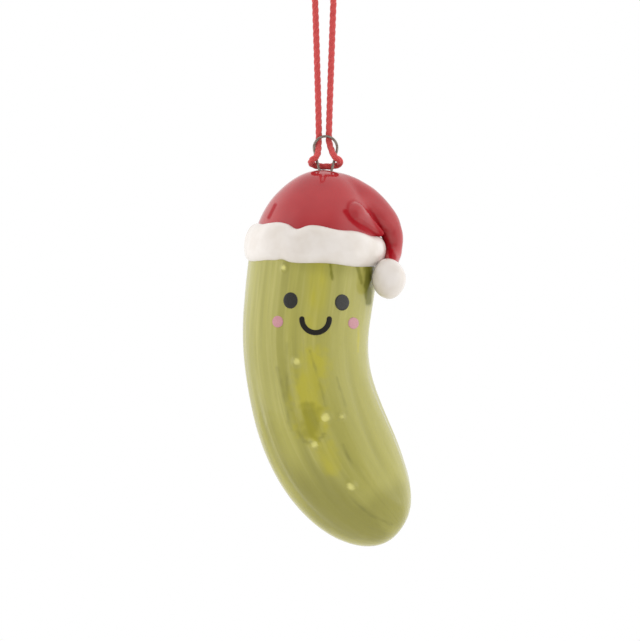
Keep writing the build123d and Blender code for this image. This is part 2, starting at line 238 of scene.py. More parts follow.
# The pickle: slip-cast earthenware, hollow, with a vent hole in its back for the kiln.
# Grooves and warts are in the mould, and the green glaze is brushed on lengthwise and fired
# glossy. Places on it are a distance down its bent axis and an angle from the right to the front.
seam_middle = np.array((-2.2, 0.0, -80.1))
head_lean = math.radians(7.3)
head_right = np.array((math.cos(head_lean), 0.0, -math.sin(head_lean)))
head_up = np.array((math.sin(head_lean), 0.0, math.cos(head_lean)))
to_front = np.array((0.0, -1.0, 0.0))
straight_length = 17.0
bend_radius = 62.5
seam_radius = 17.4
waist_radius, waist_along = 16.7, 35.0
belly_radius, belly_along = 16.95, 49.0
toe_length, toe_fullness = 34.5, 2.3
pickle_length = belly_along + toe_length
wall, least_inside = 3.0, 0.4
vent_radius, vent_along, vent_segments = 1.5, 58.0, 48
pickle_columns, side_rows, toe_rows, inside_row_count = 288, 120, 90, 24
tip_share = 0.995
sharp_edge = math.radians(40)
# Distance down the axis, angle and width of each wart
wart_rise = 0.55
warts = [
    (6.7, 115, 2.4), (30, 98, 3.0), (45.6, 83, 4.2), (47.1, 69.5, 2.2), (51.1, 100.6, 3.2),
    (65, 92, 3.4), (24, 325, 3.0), (41, 204, 3.0), (20, 200, 3.2), (33, 250, 3.4),
    (45, 215, 2.8), (50, 285, 3.2), (26, 310, 2.8), (64, 230, 3.0), (62, 322, 2.8),
]
# Each groove sways by a few degrees, and its place, start and strength differ by its number
groove_count, groove_phase, groove_depth, groove_width = 11, 82.0, 0.45, 1.5
groove_sway, groove_sway_length, groove_stray = 3.5, 13.0, 4.0
groove_from, groove_stagger, groove_toe_gap = 24.0, 5.0, 3.0
groove_fade_in, groove_fade_out = 16.0, 22.0
groove_strength, groove_change = 0.75, 0.25
sway_phase, stray_phase, stagger_phase, change_phase = 2.1, 5.3, 3.7, 1.9
# Soft lumps of the cast clay, drawn out lengthwise and calmer where the face is
lump_height, lump_size, lump_shift, lump_draw = 0.22, 7.5, 31.7, 0.22
grain_height, grain_size = 0.07, 2.6
calm_share, calm_until, calm_fade = 0.35, 20.0, 14.0
tip_fade, least_radius = 5.0, 3.0


def pickle_axis(along):
    """The axis's points and the direction to its right."""
    turn = np.maximum(along - straight_length, 0) / bend_radius
    drop = np.minimum(along, straight_length) + bend_radius * np.sin(turn)
    slide = bend_radius * (1 - np.cos(turn))
    middle = seam_middle - drop[:, None] * head_up + slide[:, None] * head_right
    return middle, np.cos(turn)[:, None] * head_right + np.sin(turn)[:, None] * head_up


def pickle_radius(along):
    """The radius at the seam, the waist, the belly and down the blunt toe."""
    upper = seam_radius + (waist_radius - seam_radius) * ease(along / waist_along)
    share = (along - waist_along) / (belly_along - waist_along)
    lower = waist_radius + (belly_radius - waist_radius) * ease(share)
    share = np.clip((along - belly_along) / toe_length, 0, 1)
    toe = belly_radius * (1 - share**toe_fullness) ** (1 / toe_fullness)
    return np.where(along <= waist_along, upper, np.where(along <= belly_along, lower, toe))


def pickle_place(points):
    """Right, front and down the axis of points in millimetres, as if the pickle were straight."""
    offset = points - seam_middle
    down, right = -offset @ head_up, offset @ head_right
    turn = np.arctan2(down - straight_length, bend_radius - right)
    bent = down > straight_length
    along = np.where(bent, straight_length + bend_radius * turn, down)
    out = bend_radius - np.hypot(bend_radius - right, down - straight_length)
    return np.stack((np.where(bent, out, right), offset @ to_front, along), 1)


def pickle_relief(along, angle):
    """Height of the mould's relief, and how far each point lies in a groove or on a wart."""
    radius = np.maximum(pickle_radius(along), least_radius)
    groove = np.zeros_like(along)
    for number in range(groove_count):
        sway = groove_sway * np.sin(along / groove_sway_length + sway_phase * number)
        stray = groove_stray * math.sin(stray_phase * number)
        middle = np.radians(groove_phase + 360 / groove_count * number + sway + stray)
        across = radius * apart(angle, middle)
        start = groove_from + groove_stagger * math.sin(stagger_phase * number)
        reach = ease((along - start) / groove_fade_in)
        reach = reach * ease((pickle_length - groove_toe_gap - along) / groove_fade_out)
        strength = groove_strength + groove_change * math.sin(change_phase * number)
        groove = np.maximum(groove, np.exp(-((across / groove_width) ** 2)) * reach * strength)
    wart = np.zeros_like(along)
    for place, turn, width in warts:
        across = radius * apart(angle, math.radians(turn))
        away = np.hypot(across, along - place) / (width / 2)
        wart = np.maximum(wart, ease(1.25 - away) * ease((1.5 - away) * 2))
    straight = np.stack((radius * np.cos(angle), radius * np.sin(angle), along * lump_draw), 1)
    calm = calm_share + (1 - calm_share) * ease((along - calm_until) / calm_fade)
    lumps = lump_height * ripple(straight + lump_shift, lump_size) * calm
    lumps = lumps + grain_height * ripple(straight, grain_size)
    tip = ease((pickle_length - along) / tip_fade)
    return lumps * tip - groove_depth * groove + wart_rise * wart, groove, wart


def pickle_ring(middle, right, reach, angle):
    """Points at a distance from the axis, by their angles."""
    return middle + reach * (np.cos(angle)[:, None] * right + np.sin(angle)[:, None] * to_front)


def pickle_skin(along, angle):
    """Points over the pickle's outside, in millimetres."""
    reach = np.maximum(pickle_radius(along) + pickle_relief(along, angle)[0], 0.0)
    return pickle_ring(*pickle_axis(along), reach[:, None], angle)


outside_rows = np.concatenate((
    np.linspace(0, belly_along, side_rows, endpoint=False),
    belly_along + toe_length * np.sin(np.linspace(0, tip_share * math.pi / 2, toe_rows)),
))
inside_rows = np.linspace(0, 1, inside_row_count) * (pickle_length - wall) * tip_share
turns = np.linspace(0, 2 * math.pi, pickle_columns, endpoint=False)
outside = pickle_skin(np.repeat(outside_rows, pickle_columns), np.tile(turns, len(outside_rows)))
inside = []
for along in inside_rows:
    level = np.array([along * pickle_length / (pickle_length - wall)])
    reach = max(float(pickle_radius(level)[0]) - wall, least_inside)
    inside.append(pickle_ring(*pickle_axis(np.array([along])), reach, turns))
outside_tip = pickle_axis(np.array([pickle_length]))[0]
inside_tip = pickle_axis(np.array([pickle_length - wall]))[0]
inside_first = len(outside)
pickle_points = np.concatenate([outside] + inside + [outside_tip, inside_tip])
tip_number = len(pickle_points) - 2
pickle_faces = [f[::-1] for f in ring_faces(len(outside_rows), pickle_columns)]
pickle_faces += ring_faces(len(inside_rows), pickle_columns, inside_first)
for column in range(pickle_columns):
    after = (column + 1) % pickle_columns
    last = inside_first - pickle_columns
    pickle_faces.append((last + after, last + column, tip_number))
    last = tip_number - pickle_columns
    pickle_faces.append((last + column, last + after, tip_number + 1))
    pickle_faces.append((column, after, inside_first + after, inside_first + column))

# Brushed green glaze over pale clay: thin and yellow on warts and ridges, deep olive where it
# pools in the grooves, with lengthwise brush streaks that the kiln left soft.
green_glaze, tree, shader = new_material("brushed_green_glaze")
place = stored(tree, "glaze_place", "Vector")
brushwork = stored(tree, "brushwork")
drip = stored(tree, "drip")
# Streak width and length in millimetres, from broad brush marks to single hairs
streaks = []
for width, length in ((4.2, 46.0), (1.5, 30.0), (0.7, 17.0)):
    scaled = add_node(tree, "VectorMath", {0: place, 1: (1 / width, 1 / width, 1 / length)},
                      operation="MULTIPLY").outputs[0]
    streaks.append(add_node(tree, "TexNoise", {
        "Vector": scaled, "Scale": 1.0, "Detail": 2.0}).outputs["Fac"])
colour = linear("#ACA752")
for streak, tint, low, high in (
    (streaks[0], "#959142", 0.42, 0.7),
    (streaks[1], "#B9B365", 0.5, 0.76),
    (streaks[2], "#9A964C", 0.54, 0.84),
):
    colour = tinted(tree, ranged(tree, streak, low, high, last=brushwork), colour, linear(tint))
for mask, tint, strength in (
    (stored(tree, "yellow_pool"), "#B8AF31", 0.8),
    (stored(tree, "deep_pool"), "#858011", 0.7),
    (stored(tree, "olive_shade"), "#7B7729", 0.6),
    (stored(tree, "groove"), "#85823C", 0.35),
    # A pale line down both side edges: painted reflection
    (stored(tree, "mould_seam"), "#CBC68C", 0.55),
    # Dark glaze drips, with the bobble's painted shadow and painted shade under the band
    (drip, "#62641C", 0.75),
    (stored(tree, "glaze_line"), "#66662B", 0.38),
    (stored(tree, "wart"), "#E0DA82", 0.85),
):
    share = add_node(tree, "Math", {0: mask, 1: strength}, operation="MULTIPLY").outputs[0]
    colour = tinted(tree, share, colour, linear(tint))
tree.links.new(colour, shader.inputs["Base Color"])
wave = add_node(tree, "TexNoise", {"Vector": place, "Scale": 0.45, "Detail": 1.0}).outputs["Fac"]
brush = add_node(tree, "Math", {0: wave, 1: streaks[1]}, operation="ADD").outputs[0]
bumped(tree, shader, brush, 0.06)
# The dark drips and the bobble's painted shadow get a lower specular level, so no pale sheen shows
# on them
sheen = ranged(tree, drip, first=plain_sheen, last=shaded_sheen)
tree.links.new(sheen, shader.inputs["Specular IOR Level"])
shader.inputs["Roughness"].default_value = 0.13
shader.inputs["IOR"].default_value = glaze_ior

pickle = new_piece("glazed_pickle", pickle_points, pickle_faces, green_glaze)
cutter_mesh = bpy.data.meshes.new("vent_cutter")
cutter_form = bmesh.new()
bmesh.ops.create_cone(
    cutter_form, cap_ends=True, segments=vent_segments, radius1=vent_radius * mm,
    radius2=vent_radius * mm, depth=2 * belly_radius * mm)
cutter_form.to_mesh(cutter_mesh)
cutter_form.free()
cutter = add_object("vent_cutter", cutter_mesh)
cutter.rotation_euler = (math.pi / 2, 0, 0)
vent_middle = pickle_axis(np.array([vent_along]))[0][0] * mm
cutter.location = Vector(vent_middle) + Vector((0, belly_radius * mm, 0))
cut = pickle.modifiers.new("vent", "BOOLEAN")
cut.object = cutter
cut.solver = "EXACT"
apply_modifiers(pickle)
bpy.data.objects.remove(cutter)

# Brush marks on the front: strength, half width, and the X and Z places that each runs through
yellow_marks = [
    (1.0, 3.6, (-2.8, -110.2), (-4.7, -118.8), (-3.4, -127.4)),
    (0.7, 2.4, (0.3, -133.1), (1.8, -137.2)),
    (0.8, 0.3, (9.1, -101.4), (8.8, -107.7)),
]
deep_marks = [(0.9, 2.5, (-3.9, -123.6), (-3.6, -127.8))]
# Thin dark lines where the glaze has run into the mould's creases and round the yellow pool
dark_lines = [
    (1.0, 0.3, (-3.6, -107.4), (-1.5, -114.9), (0.3, -121.7)),
    (0.7, 0.5, (-12.2, -111.8), (-10.1, -120.9), (-8.8, -127.9)),
    (0.6, 0.4, (-9.8, -105.3), (-9.6, -118.6), (-8.5, -122.7)),
    (0.8, 0.3, (3.4, -114.4), (6.0, -124.0)),
    (0.8, 0.35, (4.7, -131.8), (7.8, -137.8)),
    (0.8, 0.35, (7.0, -145.3), (12.5, -150.5), (17.7, -153.1)),
    (0.8, 0.4, (-7.0, -128.4), (-5.2, -131.0), (-2.1, -131.3), (0.0, -128.9)),
]
# The marks beside the bobble are its painted shadow on the pickle; the one at the front is a short
# glaze drip under the band
drip_marks = [
    (0.9, 0.9, (11.4, -85.8), (12.0, -94.7)),
    (0.7, 0.5, (8.6, -85.3), (10.1, -89.5)),
    (0.7, 0.35, (1.8, -84.8), (2.1, -88.7)),
]
mark_reach, mark_ragged, mark_fade = 1.6, 0.5, 1.2
# Patches: strength, distance down the axis, angle, half length, and half width in degrees
yellow_patches = [(0.6, 8, 84, 15, 9)]
olive_patches = [(1.0, 68, 125, 13, 26), (0.7, 77, 80, 6, 45), (0.5, 48, 140, 14, 7)]
# The first patch is the bobble's painted shadow beside it; the second, just under the band at the
# front, is painted shade under the band
drip_patches = [(0.5, 6, 22, 8, 12), (0.3, 3, 78, 4, 30)]
patch_reach, patch_ragged = 1.5, 0.25

points_now = mesh_points(pickle.data)
front_now = points_now[:, (0, 2)]
place_now = pickle_place(points_now)
pickle_along, pickle_angle = place_now[:, 2], np.arctan2(place_now[:, 1], place_now[:, 0])
front_degrees = np.degrees(pickle_angle)
in_groove, on_wart = pickle_relief(pickle_along, pickle_angle)[1:]
ragged = ripple(points_now, 1.4)
wander = np.stack((0.7 * ripple(points_now + 5.2, 9.0), np.zeros(len(points_now))), 1)
faded = np.clip(0.75 + 1.1 * ripple(points_now + 2.7, 3.0), 0.15, 1.2)
thinned = 0.95 + 0.8 * ripple(place_now * (1, 1, 0.5), 2.2)
patch_edge = ripple(place_now * (1, 1, 0.35), 3.0)


def brushed(marks):
    """Ragged brush marks on the front, added up."""
    total = np.zeros(len(points_now))
    for strength, width, *route in marks:
        away = away_from(front_now + wander, route) / width
        total += strength * ease((mark_reach - away + mark_ragged * ragged) / mark_fade)
    return total * (place_now[:, 1] > 0)


def patched(patches):
    """Soft-edged patches of glaze, added up."""
    total = np.zeros(len(points_now))
    for strength, along, angle, length, width in patches:
        away = np.hypot((pickle_along - along) / length, (front_degrees - angle) / width)
        total += strength * ease(patch_reach - away + patch_ragged * patch_edge)
    return total


wide_ring = belly_radius * np.stack((np.cos(pickle_angle), np.sin(pickle_angle)), 1)
bared = ease((on_wart - 0.66 + 0.2 * ripple(points_now + 9.1, 1.1)) / 0.4)
# Down both sides, at the edges seen from the front, the glaze is painted pale: a painted reflection
# of the bright tent at the grazing edge
parting = np.exp(-((place_now[:, 1] / 2.2) ** 2)) * ease((pickle_along - 12) / 20)
# The brush ran dry on the right and at the toe, where the glaze is smooth and even
left_or_high = ease((front_degrees - 62) / 30 + ease((26 - pickle_along) / 14))
over_toe = ease((78 - pickle_along) / 26)
yellow = thinned * (brushed(yellow_marks) + patched(yellow_patches))
for name, values in (
    ("glaze_place", np.concatenate((wide_ring, pickle_along[:, None]), 1)),
    ("groove", in_groove**2),
    ("wart", bared),
    ("mould_seam", parting),
    ("yellow_pool", np.clip(yellow, 0, 1)),
    ("deep_pool", brushed(deep_marks)),
    ("brushwork", 0.25 + 0.5 * left_or_high * over_toe),
    ("glaze_line", faded * np.clip(brushed(dark_lines), 0, 1)),
    ("olive_shade", np.clip(patched(olive_patches), 0, 1)),
    ("drip", np.clip(brushed(drip_marks) + patched(drip_patches), 0, 1)),
):
    store(pickle.data, name, values)
edges = bmesh.new()
edges.from_mesh(pickle.data)
for edge in edges.edges:
    edge.smooth = edge.calc_face_angle(0) < sharp_edge
edges.to_mesh(pickle.data)
edges.free()
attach(pickle, "ornament")
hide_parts("pickle_body")

# The cap: pressed earthenware in red glaze, a leaning dome whose tail is bent down over the right
# side, with one fold where it bends. The parts are modelled in clay and smoothed into each other.
cap_height, cap_reach, cap_skirt = 21.1, 16.6, 1.5
cap_lean = math.radians(13.0)
cap_up = np.array((math.sin(cap_lean), 0.0, math.cos(cap_lean)))
dome_draw, dome_rows, dome_tip = 0.76, 40, 0.05
band_rise, band_height = 1.6, 9.4
bobble_width, bobble_height = 8.9, 10.6
bobble_along, bobble_angle, bobble_nestle = band_height / 2 + 1.2, 24.0, 1.3
tail_neck, tail_press = 2.05, 0.45
# Distance out from the seam's radius, angle, height over the seam and radius of the tail
tail_stations = [
    (-19.4, 0.0, 13.4, 7.0),
    (-13.4, 0.0, 13.4, 7.5),
    (-9.7, 0.0, 12.8, 7.2),
    (-5.6, 0.0, 11.9, 6.2),
    (-1.2, 0.0, 10.0, 4.5),
    (band_rise + 0.5, -1.0, band_height / 2 + 2.2, 3.0),
    (band_rise + tail_neck - tail_press, -1.0, 2.2, tail_neck + tail_press),
    (band_rise + tail_neck - tail_press, 8.0, -0.8, 2.1),
    (bobble_width / 2 - 0.2, 18.9, bobble_height / 2 - bobble_along - 2.4, 1.6),
]
fold_start, fold_radius = (-4.8, 46.5, 9.3), 3.8
fold_end, fold_tip_radius = (-0.2, 15.2, 5.9), 1.0
clay_voxel, clay_passes = 0.3, 8
# Where the tail is drawn into the crown: height over the seam, and room left round the knob
drawn_from, drawn_fade, knob_room = 11.5, 3.0, 2.0
drawn_passes, drawn_least, drawn_hollow = 300, 0.2, 0.00025
leg_places, leg_dimple, dimple_floor = ((-1.22, -1.25), (2.18, -1.25)), 0.7, -65.0
# Thick glaze low on the left flank, under the knob of the fold and down the tail's valley:
# half width, and X and Z places
glaze_runs = [
    (0.5, [(-12.8, -69.0), (-14.5, -72.4)]),
    (0.6, [(5.5, -71.0), (6.8, -72.9), (9.7, -75.2), (12.6, -76.5), (15.2, -77.5)]),
    (0.9, [(12.9, -72.0), (15.7, -76.5), (17.6, -81.0), (18.4, -82.8)]),
]
crease_passes, crease_hollow = 14, 0.008


def on_cap(out, angle, height):
    """A point by its distance out from the seam's radius, its angle and its height over the seam."""
    turn = math.radians(angle)
    sideways = math.cos(turn) * head_right + math.sin(turn) * to_front
    return seam_middle + (seam_radius + out) * sideways + height * head_up


def dome_profile(reach, height, count):
    """Radius and height up a dome: an upright flank arc that runs into a tighter crown."""
    crown = reach - dome_draw * (height - reach)
    flank = reach + (height - reach) * (1 + 1 / (2 * dome_draw))
    meet = math.atan2(1 + dome_draw, 1 + 1 / (2 * dome_draw))
    angles = np.linspace(0, meet, count, endpoint=False)
    low = np.stack((reach - flank + flank * np.cos(angles), flank * np.sin(angles)), 1)
    angles = np.linspace(meet, math.pi / 2, count)[:-1]
    high = np.stack((crown * np.cos(angles), height - crown + crown * np.sin(angles)), 1)
    return np.concatenate((low, high))


def turned(profile, foot, axis, columns=96):
    """A closed turned form: points and faces from radii and heights along an axis."""
    axis = np.asarray(axis) / np.linalg.norm(axis)
    side = np.cross(axis, to_front)
    side = side / np.linalg.norm(side)
    across = np.cross(axis, side)
    around = np.linspace(0, 2 * math.pi, columns, endpoint=False)
    circle = np.cos(around)[:, None] * side + np.sin(around)[:, None] * across
    rings = [foot + height * axis + radius * circle for radius, height in profile]
    return np.concatenate(rings), tube_faces(len(rings), columns)


def teardrop(start, end, start_radius, end_radius, count=40):
    """Radius along a form with a ball at each end and a straight taper between."""
    length = np.linalg.norm(end - start)
    turn = math.asin((start_radius - end_radius) / length)
    pole = math.pi / 2 * 0.98
    first, second = np.linspace(-pole, turn, count), np.linspace(turn, pole, count)
    big = np.stack((start_radius * np.cos(first), start_radius * np.sin(first)), 1)
    small = np.stack((end_radius * np.cos(second), length + end_radius * np.sin(second)), 1)
    return np.concatenate((big, small))


def spread(mesh, values, times, share=0.5):
    """Values at each point, evened out towards those of its neighbours that many times."""
    count = len(mesh.vertices)
    ends = np.zeros(len(mesh.edges) * 2, np.int32)
    mesh.edges.foreach_get("vertices", ends)
    a, b = ends.reshape(-1, 2).T
    degree = np.bincount(ends, minlength=count)
    for _ in range(times):
        total = [np.bincount(a, column[b], count) + np.bincount(b, column[a], count)
                 for column in values.T]
        values = values + share * (np.stack(total, 1) / degree[:, None] - values)
    return values


def hollows(mesh, smoothing, limit):
    """How hollow the surface is at each point, from 0 to 1, where glaze pools."""
    normal = np.zeros(len(mesh.vertices) * 3, np.float32)
    mesh.vertices.foreach_get("normal", normal)
    points = mesh_points(mesh)
    inward = (spread(mesh, points, 1, 1.0) - points) * normal.reshape(-1, 3)
    return np.clip(spread(mesh, np.sum(inward, 1)[:, None], smoothing)[:, 0] / limit, 0, 1)


red_glaze, tree, shader, pooled = dipped_glaze(
    "glossy_red_glaze", "#B43236", "#A8282E", "#A61621",
    cloud_size=9.0, peel_size=1.3, peel_depth=0.012, roughness=0.1)
# A deep crease mirrors only its own red walls, so the pale sheen is left out of it
sheen = ranged(tree, pooled, first=plain_sheen, last=shaded_sheen)
tree.links.new(sheen, shader.inputs["Specular IOR Level"])

tail_curve = bpy.data.curves.new("tail_route", "CURVE")
tail_curve.dimensions = "3D"
tail_curve.resolution_u = 24
tail_curve.bevel_depth = mm
tail_curve.bevel_resolution = 12
tail_curve.use_fill_caps = True
tail_spline = tail_curve.splines.new("BEZIER")
tail_spline.bezier_points.add(len(tail_stations) - 1)
for point, (out, angle, height, radius) in zip(tail_spline.bezier_points, tail_stations):
    point.co = on_cap(out, angle, height) * mm
    point.radius = radius
    point.handle_left_type = point.handle_right_type = "AUTO"
tail_object = add_object("tail_route", tail_curve)
tail_mesh = shaped_mesh(tail_object)
tail_form = (mesh_points(tail_mesh), [tuple(face.vertices) for face in tail_mesh.polygons])
bpy.data.objects.remove(tail_object)

dome_rings = np.concatenate((
    [(cap_reach, -cap_skirt)], dome_profile(cap_reach, cap_height, dome_rows),
    [(dome_tip, cap_height)]))
dome_form = turned(dome_rings, seam_middle, cap_up)
fold_from, fold_to = on_cap(*fold_start), on_cap(*fold_end)
fold_rings = teardrop(fold_from, fold_to, fold_radius, fold_tip_radius)
fold_form = turned(fold_rings, fold_from, fold_to - fold_from)
cap = new_piece("glazed_cap", *joined([dome_form, tail_form, fold_form]), red_glaze)
clay = cap.modifiers.new("clay", "REMESH")
clay.mode = "VOXEL"
clay.voxel_size = clay_voxel * mm
soften = cap.modifiers.new("soften", "SMOOTH")
soften.factor = 0.5
soften.iterations = clay_passes
apply_modifiers(cap)
# A wet thumb has drawn the tail into the crown, so only its lower end leaves a valley
cap_now = mesh_points(cap.data)
knob_away = np.linalg.norm(cap_now - fold_from, axis=1) - fold_radius
drawn_in = ease(((cap_now - seam_middle) @ head_up - drawn_from) / drawn_fade)
drawn_in = drawn_in * ease(knob_away / knob_room)
creased = hollows(cap.data, drawn_passes, drawn_hollow)
drawn_in = (drawn_in * (drawn_least + (1 - drawn_least) * creased))[:, None]
for _ in range(drawn_passes):
    cap_now = cap_now + drawn_in * (spread(cap.data, cap_now, 1) - cap_now)
cap.data.vertices.foreach_set("co", (cap_now * mm).astype(np.float32).ravel())
cap.data.update()
pooling = hollows(cap.data, crease_passes, crease_hollow)
for x, y in leg_places:
    away = np.hypot(cap_now[:, 0] - x, cap_now[:, 1] - y) / leg_dimple
    pooling = pooling + ease(1.6 - away) * (cap_now[:, 2] > dimple_floor)
for width, route in glaze_runs:
    away = away_from(cap_now[:, (0, 2)], route) / width
    pooling = pooling + ease(1.5 - away) * (cap_now[:, 1] < 0)
store(cap.data, "hollow", np.clip(pooling, 0, 1))
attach(cap, "ornament")
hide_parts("cap")

# The fur band: a roll of clay laid round the seam, pinched into soft puffs along both edges and
# dipped in white glaze, which is thin and a little warm on the puffs.
band_depth, band_fullness = 2.4, 2.4
band_columns, band_ring = 360, 56
# Height of each edge over the seam, with its puffs and the slope of the lower one
band_top, top_puffs, top_puff = 4.9, 9, 0.25
band_bottom, bottom_puffs, bottom_puff, bottom_slope = -4.7, 7, 0.2, 1.2
# Rise, middle and width in degrees of each pinch
top_pinches = [(-0.9, 109, 7), (0.25, 75, 25), (-0.8, 180, 32)]
bottom_pinches = [(0.5, 118, 5)]
band_draw, band_draw_power = 0.035, 1.6
puff_height, puff_size, puff_upward = 0.3, 5.5, 0.4
tuft_height, tuft_size, tuft_shift = 0.1, 2.4, 17.3


def pinched(turn, pinches):
    """Pinches along an edge of the band, added up."""
    return sum(rise * np.exp(-((np.degrees(apart(turn, math.radians(middle))) / width) ** 2))
               for rise, middle, width in pinches)


def rounded(wave):
    """A sine or cosine made fuller, for a section between an ellipse and a box."""
    return np.sign(wave) * np.abs(wave) ** (2 / band_fullness)


white_glaze = dipped_glaze(
    "white_glaze", "#E9E2DC", "#DFD6CD", "#C9BBAA",
    cloud_size=5.0, peel_size=1.6, peel_depth=0.02, roughness=0.22)[0]

band_turns = np.linspace(0, 2 * math.pi, band_columns, endpoint=False)
tops = band_top + top_puff * np.sin(top_puffs * band_turns) + pinched(band_turns, top_pinches)
bottoms = band_bottom + bottom_slope * np.cos(band_turns)
bottoms = bottoms - bottom_puff * np.cos(bottom_puffs * band_turns)
bottoms = bottoms + pinched(band_turns, bottom_pinches)
section = np.linspace(0, 2 * math.pi, band_ring, endpoint=False)
bulge, rise = rounded(np.cos(section)), rounded(np.sin(section))
band_points = []
for angle, top, bottom in zip(band_turns, tops, bottoms):
    sideways = math.cos(angle) * head_right + math.sin(angle) * to_front
    height = (top + bottom) / 2 + (top - bottom) / 2 * rise
    reach = seam_radius + band_rise - band_depth + band_depth * bulge
    reach = reach - band_draw * np.maximum(height, 0) ** band_draw_power
    band_points.append(seam_middle + reach[:, None] * sideways + height[:, None] * head_up)
band_points = np.concatenate(band_points)
puff = puff_height * ripple(band_points, puff_size)
puff = puff + tuft_height * ripple(band_points + tuft_shift, tuft_size)
outward = band_points - seam_middle
outward = outward - (outward @ head_up)[:, None] * head_up
outward = outward / np.linalg.norm(outward, axis=1)[:, None]
band_points = band_points + puff[:, None] * (outward + puff_upward * head_up)
band_faces = ring_faces(band_columns, band_ring)
last = (band_columns - 1) * band_ring
for number in range(band_ring):
    after = (number + 1) % band_ring
    band_faces.append((last + number, last + after, after, number))
band = new_piece("glazed_fur_band", band_points, band_faces, white_glaze)
store(band.data, "hollow", hollows(band.data, 4, 0.03))
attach(band, "ornament")
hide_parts("fur_band")

# The bobble: a ball of clay pressed on the end of the tail, in the same white glaze.
# It leans on the band and on the pickle below it.
bobble_rows, bobble_tip = 28, 0.03
bobble_lump, bobble_lump_size, bobble_lump_shift = 0.16, 4.5, 40
bobble_grain, bobble_grain_size = 0.05, 2.0
middle, right = pickle_axis(np.array([bobble_along]))
bobble_reach = seam_radius + band_rise + bobble_width / 2 - bobble_nestle
bobble_turn = np.array([math.radians(bobble_angle)])
bobble_middle = pickle_ring(middle, right, bobble_reach, bobble_turn)[0]
upper = dome_profile(bobble_width / 2, bobble_height / 2, bobble_rows)
lower = upper[:0:-1] * (1, -1)
bobble_rings = np.concatenate((
    [(bobble_tip, -bobble_height / 2)], lower, upper, [(bobble_tip, bobble_height / 2)]))
bobble_points, bobble_faces = turned(bobble_rings, bobble_middle, (0, 0, 1))
from_middle = bobble_points - bobble_middle
lumps = bobble_lump * ripple(from_middle + bobble_lump_shift, bobble_lump_size)
lumps = lumps + bobble_grain * ripple(from_middle, bobble_grain_size)
bobble_points = bobble_points + lumps[:, None] * from_middle / (bobble_width / 2)
bobble = new_piece("glazed_bobble", bobble_points, bobble_faces, white_glaze)
store(bobble.data, "hollow", np.zeros(len(bobble_points)))
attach(bobble, "ornament")
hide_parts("bobble")

# The face: two eyes, a smile and two cheeks, ceramic colour printed on the glaze and fired again,
# so each is a thin, slightly raised skin with a rounded edge that follows the pickle.
print_height, print_rim, print_sunk, print_edge = 0.14, 0.55, 0.25, 0.12
print_grain, print_roughness, line_sheen = 0.35, 0.22, 0.32
dot_columns, dot_rings, dot_middle = 64, 8, 0.05
smile_x, smile_z, smile_radius, smile_stroke = -2.14, -99.1, 3.55, 1.36
smile_columns, end_columns, smile_rings, smile_middle = 56, 12, 5, 0.03
before_pickle = -0.1
pickle_tree = BVHTree.FromPolygons([v.co for v in pickle.data.vertices],
                                   [f.vertices for f in pickle.data.polygons])


def on_pickle(x, z, lift):
    """The place on the pickle's front at an X and Z, lifted off it."""
    start = Vector((x * mm, before_pickle, z * mm))
    hit, normal = pickle_tree.ray_cast(start, Vector((0, 1, 0)))[:2]
    return np.array(hit) / mm + lift * np.array(normal)


def print_piece(name, node, rings, material):
    """A raised skin over rings of X and Z places in millimetres, from its middle to its edge."""
    lifts = [print_height] * (len(rings) - 1) + [print_height * print_rim, -print_sunk]
    points = [on_pickle(x, z, lift)
              for ring, lift in zip(rings + rings[-1:], lifts) for x, z in ring]
    made = new_piece(name, points, tube_faces(len(lifts), len(rings[0])), material)
    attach(made, "ornament")
    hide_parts(node)


def print_material(name, colour, speck, sheen=plain_sheen):
    """Fired ceramic colour: nearly even, with the faint grain of the printing screen."""
    made, tree, shader = new_material(name)
    place = add_node(tree, "TexCoord").outputs["Object"]
    grain = clouds(tree, place, print_grain, 2.0)
    mixed = tinted(tree, ranged(tree, grain, 0.45, 0.75), linear(colour), linear(speck))
    tree.links.new(mixed, shader.inputs["Base Color"])
    bumped(tree, shader, grain, 0.008)
    shader.inputs["Roughness"].default_value = print_roughness
    shader.inputs["Specular IOR Level"].default_value = sheen
    return made


black_print = print_material("black_ceramic_print", "#1F1E19", "#292923")
pink_print = print_material("pink_ceramic_print", "#C38990", "#CC979D")
smile_print = print_material("black_ceramic_line", "#15120A", "#1C190F", line_sheen)
round_dot = np.linspace(0, 2 * math.pi, dot_columns, endpoint=False)
for name, node, (x, z), (width, height), material, slot in (
    ("left_eye_print", "left_eye", (-8.64, -94.3), (3.7, 4.2), black_print, "black_print"),
    ("right_eye_print", "right_eye", (4.73, -94.8), (3.7, 4.2), black_print, "black_print"),
    ("left_cheek_print", "left_cheek", (-11.98, -99.8), (2.8, 3.0), pink_print, "pink_print"),
    ("right_cheek_print", "right_cheek", (7.75, -100.2), (2.8, 3.0), pink_print, "pink_print"),
):
    rings = []
    for inset in [*np.linspace(height / 2 - dot_middle, print_edge, dot_rings), 0.0]:
        rings.append([(x + (width / 2 - inset * width / height) * math.cos(t),
                       z + (height / 2 - inset) * math.sin(t)) for t in round_dot])
    print_piece(name, node, rings, material)


def smile_arc(x, radius, angles):
    """Places on an arc at the smile's height."""
    return [(x + radius * math.cos(t), smile_z + radius * math.sin(t)) for t in angles]


smile_turns = np.linspace(math.pi, 2 * math.pi, smile_columns)
smile_end = np.linspace(0, math.pi, end_columns)[1:-1]
rings = []
for inset in [*np.linspace(smile_stroke / 2 - smile_middle, print_edge, smile_rings), 0.0]:
    half = smile_stroke / 2 - inset
    rings.append(
        smile_arc(smile_x, smile_radius + half, smile_turns)
        + smile_arc(smile_x + smile_radius, half, smile_end)
        + smile_arc(smile_x, smile_radius - half, smile_turns[::-1])
        + smile_arc(smile_x - smile_radius, half, smile_end))
print_piece("smile_print", "smile", rings, smile_print)

